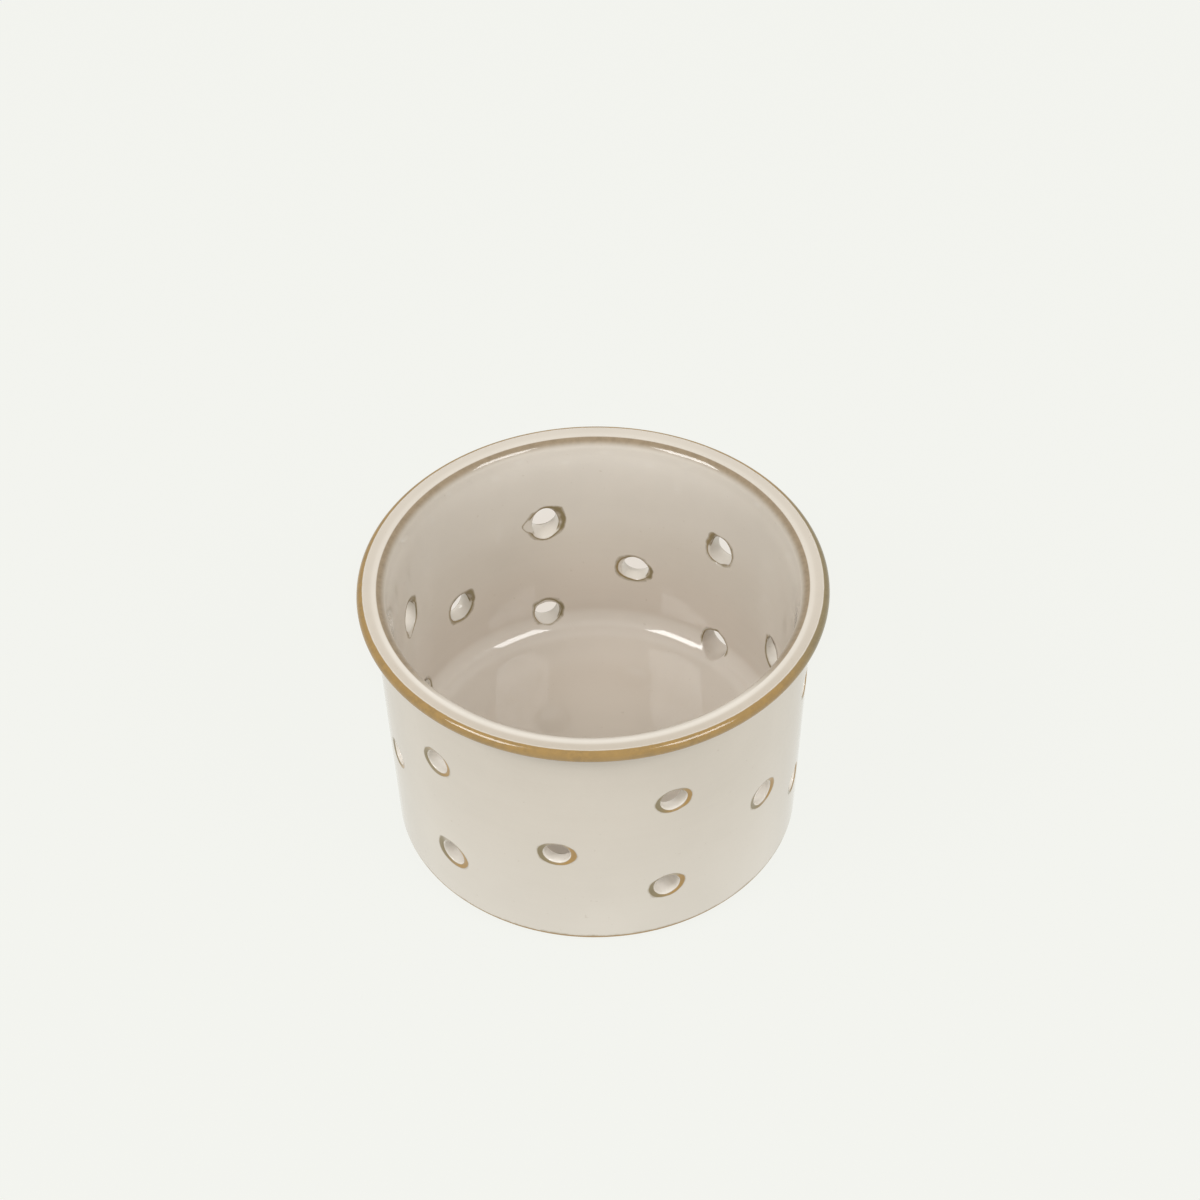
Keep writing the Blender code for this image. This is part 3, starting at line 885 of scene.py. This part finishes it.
BUFF_COLOURS = ((0.400, 0.255, 0.120, 1.0), (0.480, 0.330, 0.175, 1.0))
GRAIN_COLOUR = (0.58, 0.44, 0.28, 1.0)
GROG_COLOUR = (0.14, 0.085, 0.05, 1.0)
CLAY_IOR = 1.45


def bare_stoneware():
    """Unglazed buff stoneware: matte, grainy, with fine dark grog and turning marks."""
    nodes = Nodes("fired_stoneware")
    place = nodes.object_place()
    cloud = nodes.noise(place, 45.0, 4.0, 0.6)
    grain = nodes.noise(place, 1500.0, 3.0, 0.6)
    grog = nodes.noise(place, 620.0, 1.0, 0.4)
    buff = nodes.mix(nodes.spread(cloud, 0.3, 0.7), *BUFF_COLOURS)
    buff = nodes.mix(nodes.spread(grain, 0.3, 0.7, 0.0, 0.35), buff, GRAIN_COLOUR)
    buff = nodes.mix(nodes.spread(grog, 0.70, 0.76, 0.0, 0.7), buff, GROG_COLOUR)
    centre_out = nodes.add("ShaderNodeTexWave", {"Vector": place, "Scale": 210.0, "Distortion": 1.2,
                                                 "Detail": 2.0, "Detail Scale": 3.0},
                           wave_type="RINGS", rings_direction="Z").outputs["Fac"]
    height = nodes.math("MULTIPLY_ADD", centre_out, 0.4, grain)
    bump = nodes.add("ShaderNodeBump", {"Height": height, "Strength": 0.45, "Distance": 0.00015})
    roughness = nodes.spread(grain, 0.3, 0.7, 0.68, 0.86)
    shader = nodes.add("ShaderNodeBsdfPrincipled", {"Base Color": buff, "Roughness": roughness,
                                                    "Normal": bump.outputs[0], "IOR": CLAY_IOR})
    nodes.tree.links.new(shader.outputs[0], nodes.output.inputs["Surface"])
    return nodes.material


# ---------------------------------------------------------------------------------------------------------------
# The object.
# ---------------------------------------------------------------------------------------------------------------
ware = Ware(ware_outline())
ware.drill()
glazed_ware = ware.build("glazed_ware", cream_glaze())
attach(glazed_ware, "root")
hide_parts("glaze_coat")

foot = Turned(foot_outline(), FOOT_COLUMNS)
foot.grid(set())
clay_foot = foot.build("clay_foot", bare_stoneware())
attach(clay_foot, "root")
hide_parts("stoneware_body")


# ---------------------------------------------------------------------------------------------------------------
# Studio.
# ---------------------------------------------------------------------------------------------------------------
FLOOR_SIZE = 3.0
FLOOR_GLOW = (0.860, 0.868, 0.827, 1.0)
FLOOR_COLOUR = (0.03, 0.03, 0.03, 1.0)
FLOOR_DROP = 0.05 * MM
# A warm shade laid on the floor behind the mold. It stands in for the shadow and bounce that its holes look out on.
FLOOR_SHADE = (0.760, 0.700, 0.630, 1.0)
SHADE_CENTRE = (0.0, 63.0 * MM, 0.0)
SHADE_FULL = 22.0 * MM
SHADE_END = 60.0 * MM
# The two soft boxes are alike but for their azimuth and power.
BOX_ELEVATION = 45.0
BOX_DISTANCE = 1.2
BOX_SIZE = (0.50, 0.42)
SURROUND = (0.735, 0.715, 0.670, 1.0)


def studio_floor():
    """A pale floor that mostly glows, so that it stays even, and lets a camera below it see through."""
    nodes = Nodes("studio_floor")
    paper = nodes.add("ShaderNodeBsdfDiffuse", {"Color": FLOOR_COLOUR})
    place = nodes.add("ShaderNodeTexCoord").outputs["Object"]
    away = nodes.add("ShaderNodeVectorMath", {0: place, 1: SHADE_CENTRE}, operation="DISTANCE").outputs["Value"]
    shade = nodes.spread(away, SHADE_FULL, SHADE_END, 1.0, 0.0)
    glow = nodes.add("ShaderNodeEmission", {"Color": nodes.mix(shade, FLOOR_GLOW, FLOOR_SHADE), "Strength": 1.0})
    both = nodes.add("ShaderNodeAddShader", {0: paper.outputs[0], 1: glow.outputs[0]})
    clear = nodes.add("ShaderNodeBsdfTransparent")
    below = nodes.add("ShaderNodeNewGeometry").outputs["Backfacing"]
    shown = nodes.add("ShaderNodeMixShader", {0: below, 1: both.outputs[0], 2: clear.outputs[0]})
    nodes.tree.links.new(shown.outputs[0], nodes.output.inputs["Surface"])
    mesh = bpy.data.meshes.new("floor")
    half = FLOOR_SIZE / 2.0
    mesh.from_pydata([(-half, -half, 0.0), (half, -half, 0.0), (half, half, 0.0), (-half, half, 0.0)], [],
                     [(0, 1, 2, 3)])
    mesh.materials.append(nodes.material)
    floor = bpy.data.objects.new("floor", mesh)
    floor.location.z = -FLOOR_DROP
    bpy.context.scene.collection.objects.link(floor)
    return floor


def soft_box(name, azimuth, watts):
    """A rectangular light facing the object's middle."""
    light = bpy.data.lights.new(name, "AREA")
    light.shape = "RECTANGLE"
    light.size, light.size_y = BOX_SIZE
    light.energy = watts
    lamp = bpy.data.objects.new(name, light)
    turn, rise = math.radians(azimuth), math.radians(BOX_ELEVATION)
    out = Vector((math.sin(turn) * math.cos(rise), -math.cos(turn) * math.cos(rise), math.sin(rise)))
    lamp.location = Vector((0.0, 0.0, HEIGHT / 2.0)) + out * BOX_DISTANCE
    lamp.rotation_euler = out.to_track_quat("Z", "Y").to_euler()
    bpy.context.scene.collection.objects.link(lamp)
    return lamp


studio_floor()
soft_box("left_box", azimuth=-56.5, watts=6.0)
soft_box("right_box", azimuth=50.0, watts=4.9)

world = bpy.data.worlds.new("surround")
world.use_nodes = True
surround = world.node_tree.nodes["Background"]
surround.inputs["Color"].default_value = SURROUND
surround.inputs["Strength"].default_value = 1.0
bpy.context.scene.world = world

bpy.context.scene.view_settings.view_transform = "Standard"
bpy.context.scene.view_settings.look = "None"

CAMERA_ELEVATION = 45.91
CAMERA_DISTANCE = 0.9
CAMERA_ROLL = -1.17
CAMERA_LENS = 124.4
CAMERA_HEIGHT_AIM = 0.030
CAMERA_TURN = (0.001153, 0.0236128)      # how far the view's centre lies right of and above the aim, as tangents
CAMERA_SENSOR = 36.0
CAMERA_NEAR = 0.01


def studio_camera():
    """The camera looks down at about 46 degrees, through a long lens."""
    rise = math.radians(CAMERA_ELEVATION)
    roll = math.radians(CAMERA_ROLL)
    forward = Vector((0.0, math.cos(rise), -math.sin(rise)))
    upward = Vector((0.0, math.sin(rise), math.cos(rise)))
    level = Vector((1.0, 0.0, 0.0))
    right = level * math.cos(roll) + upward * math.sin(roll)
    upward = upward * math.cos(roll) - level * math.sin(roll)
    aim = (forward + right * CAMERA_TURN[0] + upward * CAMERA_TURN[1]).normalized()
    right = (right - aim * right.dot(aim)).normalized()
    upward = right.cross(aim).normalized()
    data = bpy.data.cameras.new("camera")
    data.lens = CAMERA_LENS
    data.sensor_width = CAMERA_SENSOR
    data.clip_start = CAMERA_NEAR
    camera = bpy.data.objects.new("camera", data)
    camera.matrix_world = Matrix((
        (right.x, upward.x, -aim.x, 0.0),
        (right.y, upward.y, -aim.y, -CAMERA_DISTANCE * math.cos(rise)),
        (right.z, upward.z, -aim.z, CAMERA_HEIGHT_AIM + CAMERA_DISTANCE * math.sin(rise)),
        (0.0, 0.0, 0.0, 1.0),
    ))
    bpy.context.scene.collection.objects.link(camera)
    bpy.context.scene.camera = camera


studio_camera()
